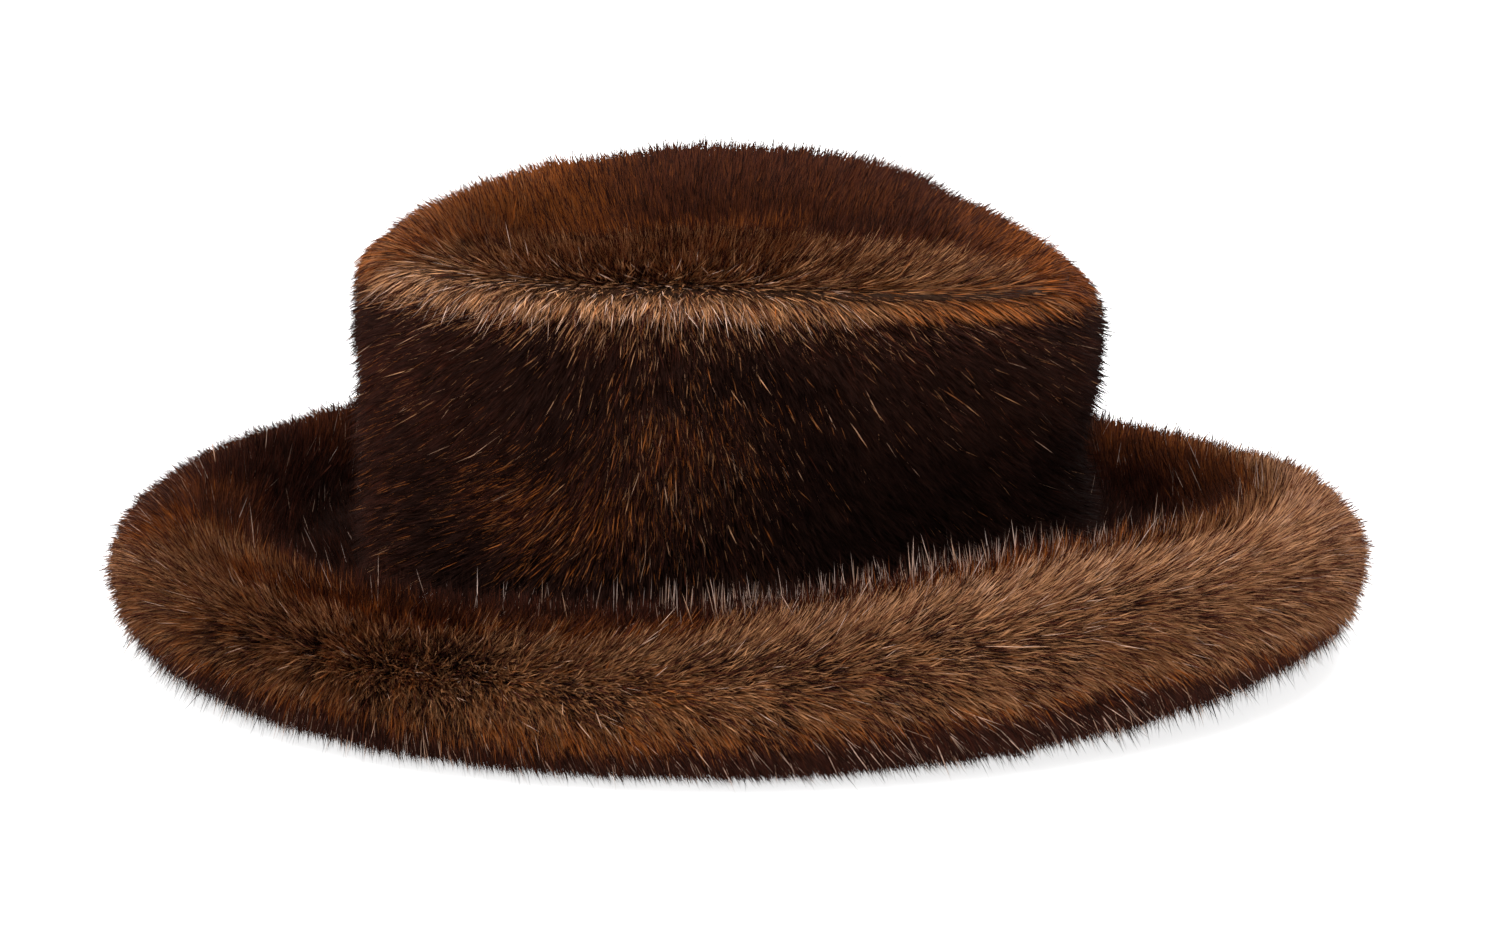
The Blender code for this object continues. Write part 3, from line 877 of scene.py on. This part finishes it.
def gutter_coat(roots, seed):
    rng = np.random.default_rng(seed)
    broad = cloud(roots.point, 0.028, 31)
    fine = cloud(roots.point, 0.006, 32)
    slope = smooth_step((roots.along - 0.45) / 0.4)
    inward = (1 - roots.along) * (roll_middle(roots.azimuth) - PILE)
    crest = 1 - smooth_step((inward - np.interp(np.degrees(roots.azimuth), CREST_AZIMUTHS, CREST_REACHES, period=360)) / 0.006)
    ground = 0.10 + 0.14 * broad + 0.08 * slope + 0.10 * (fine - 0.5)
    ends = within(roots.azimuth, 20, 38) + within(roots.azimuth, 165, 30) * smooth_step((broad - 0.3) / 0.3)
    ground = ground + 0.16 * ends * slope + (0.72 - ground) * crest
    ground = picked(rng, ground, 0.05 + 0.15 * rng.random(len(fine)), 0.5 * crest * smooth_step((fine - 0.35) / 0.25))
    # grey points at the front right of the slope: partly grey hair, partly painted sheen
    grey_hair_and_sheen = 0.005 + 0.14 * slope * within(roots.azimuth, 286, 26)
    tone = picked(rng, uneven(rng, ground, 0.045), 0.90 + 0.08 * rng.random(len(fine)), grey_hair_and_sheen)
    turn = combed("gutter", roots.azimuth)
    lift = 0.95 + 0.15 * slope
    return Coat(turn, lift, 0.0105 + 0.002 * slope, tone, 0 * fine)


gutter_roots = sow(gutter_at, GUTTER_HAIRS, (0.03, 1.0), even, 301)
gutter_hair = grow("brim_top_hair", gutter_roots, gutter_coat(gutter_roots, 302), 303)

# %% [markdown]
# ## The roll
# The widest pelt goes round the padded edge. Its crest is tan, lightened further by a painted
# highlight where its top faces the light; its middle is a mottled brown with dark flecks of painted
# shadow between the clumps, then come an orange streak and a dark reddish lower edge, whose darkness
# is painted shade on the underside. In front its hair is swept to the right, up over the crest and
# down below, and at both ends it points out. It is made in two pieces, above and below, so that
# each stays light enough.

# %% Roll
ROLL_HAIRS = 190000
RED_AZIMUTHS = (0, 10, 25, 165, 182, 197, 205, 225, 243, 258, 275)
RED_SHARES = (0.0, 0.25, 0.9, 1.0, 0.9, 0.3, 0.1, 0.8, 1.0, 0.8, 0.0)
RED_DEPTHS = (0.3, 0.3, 0.3, 0.3, 0.3, 0.2, 0.08, 0.10, 0.14, 0.12, 0.06)


def roll_coat(roots, seed):
    rng = np.random.default_rng(seed)
    turn_share = roots.along
    broad = cloud(roots.point, 0.034, 41)
    fine = cloud(roots.point, 0.0065, 42)
    shadow_flecks = cloud(roots.point, 0.0035, 43)
    crest = 1 - smooth_step((turn_share - 0.10) / 0.22)
    left = within(roots.azimuth, 252, 20)
    right = within(roots.azimuth, 350, 45)
    start = 0.53 + 0.05 * left + 0.06 * within(roots.azimuth, 335, 28) + 0.08 * (broad - 0.5)
    edge = smooth_step((turn_share - start) / 0.06)
    streak = np.exp(-(((turn_share - 0.55) / 0.04) ** 2)) * left
    crest_highlight = within(roots.azimuth, 292, 22)
    degrees = np.degrees(roots.azimuth)
    red_depth = np.interp(degrees, RED_AZIMUTHS, RED_DEPTHS, period=360)
    red = np.interp(degrees, RED_AZIMUTHS, RED_SHARES, period=360) * (1 - smooth_step((turn_share - red_depth + 0.04) / 0.08))
    # the crest lifted by a painted highlight where the roll's top faces the overhead light, most at the front right
    ground = 0.73 + 0.06 * (broad - 0.5) + 0.08 * (fine - 0.5) + (0.07 + 0.05 * crest_highlight) * crest + 0.10 * right
    ground = ground - 0.12 * streak
    ground = ground + (0.34 - ground) * red
    # the lower edge and underside darkened: painted shade underneath the roll
    ground = ground + (0.20 - ground) * edge
    # dark flecks: painted shadow between the clumps, fewer on the crest
    shadow_mottle = smooth_step((shadow_flecks * 0.6 + fine * 0.5 - 0.50) / 0.20) * (1 - 0.8 * crest) * (1 - 0.5 * right)
    tone = picked(rng, ground, 0.03 + 0.18 * rng.random(len(fine)), 0.06 + 0.50 * shadow_mottle * (1 - edge))
    # silvery hairs, more on the lower edge: partly silvery hair, partly painted sheen
    tone = picked(rng, uneven(rng, tone, 0.05), 0.92, 0.006 + 0.02 * edge)
    comb = combed("roll", roots.azimuth) * (1.02 - 0.35 * turn_share - 0.35 * turn_share**2)
    lift = 0.62 + 0.45 * within(roots.azimuth, 215, 32) + 0.25 * within(roots.azimuth, 0, 30) + 0.25 * within(roots.azimuth, 90, 60)
    length = 0.0112 + 0 * fine
    return Coat(comb, lift, length, tone, 0.05 + 0.15 * edge)


for part, span, seed in (("upper", (0.0, 0.42), 401), ("lower", (0.42, 1.06), 411)):
    roll_roots = sow(roll_at, ROLL_HAIRS, span, front_first, seed)
    grow("brim_under_hair_" + part, roll_roots, roll_coat(roll_roots, seed + 1), seed + 2)

# %% [markdown]
# ## Floor and light
# The photograph is a plain studio shot on white. A wide floor, a large soft light overhead, a
# weaker one behind and a faint white world give the same bright top, dark sides and soft contact
# shadow.

# %% Floor
FLOOR_HALF = 8.0


def studio_floor():
    bench = Bench("studio_floor")
    place = bench.node("ShaderNodeTexCoord", {}, {}, 3)
    speck = bench.node("ShaderNodeTexNoise", {}, {"Vector": place, "Scale": 3.0})
    bench.finish(
        Base_Color=bench.mix(speck, (0.88, 0.88, 0.88, 1), (0.9, 0.9, 0.9, 1)),
        Roughness=0.8,
        Specular_IOR_Level=0.1,
        Emission_Color=(1, 1, 1, 1),
        Emission_Strength=0.78,
    )
    corners = np.array([[-1, -1, 0], [1, -1, 0], [1, 1, 0], [-1, 1, 0]]) * FLOOR_HALF
    floor = mesh_piece("studio_floor", corners, np.array([[0, 1, 2, 3]]), [bench.material], 0)
    return floor


studio_floor()

# %% Lights
Lamp = namedtuple("Lamp", "name place size watts")
LAMPS = (
    Lamp("overhead", (-0.25, 0.10, 1.5), 2.0, 60),
    Lamp("front_left", (-1.3, -1.5, 1.1), 1.0, 8),
    Lamp("behind", (0.5, 1.6, 0.9), 0.9, 12),
)
for lamp in LAMPS:
    light = bpy.data.lights.new(lamp.name, "AREA")
    light.size = lamp.size
    light.energy = lamp.watts
    stand = bpy.data.objects.new(lamp.name, light)
    stand.location = lamp.place
    stand.rotation_euler = (-Vector(lamp.place)).to_track_quat("-Z", "Y").to_euler()
    bpy.context.scene.collection.objects.link(stand)
world = bpy.data.worlds.new("studio")
bpy.context.scene.world = world
world.use_nodes = True
world.node_tree.nodes["Background"].inputs["Color"].default_value = (1, 1, 1, 1)
world.node_tree.nodes["Background"].inputs["Strength"].default_value = 0.48
bpy.context.scene.view_settings.view_transform = "Standard"
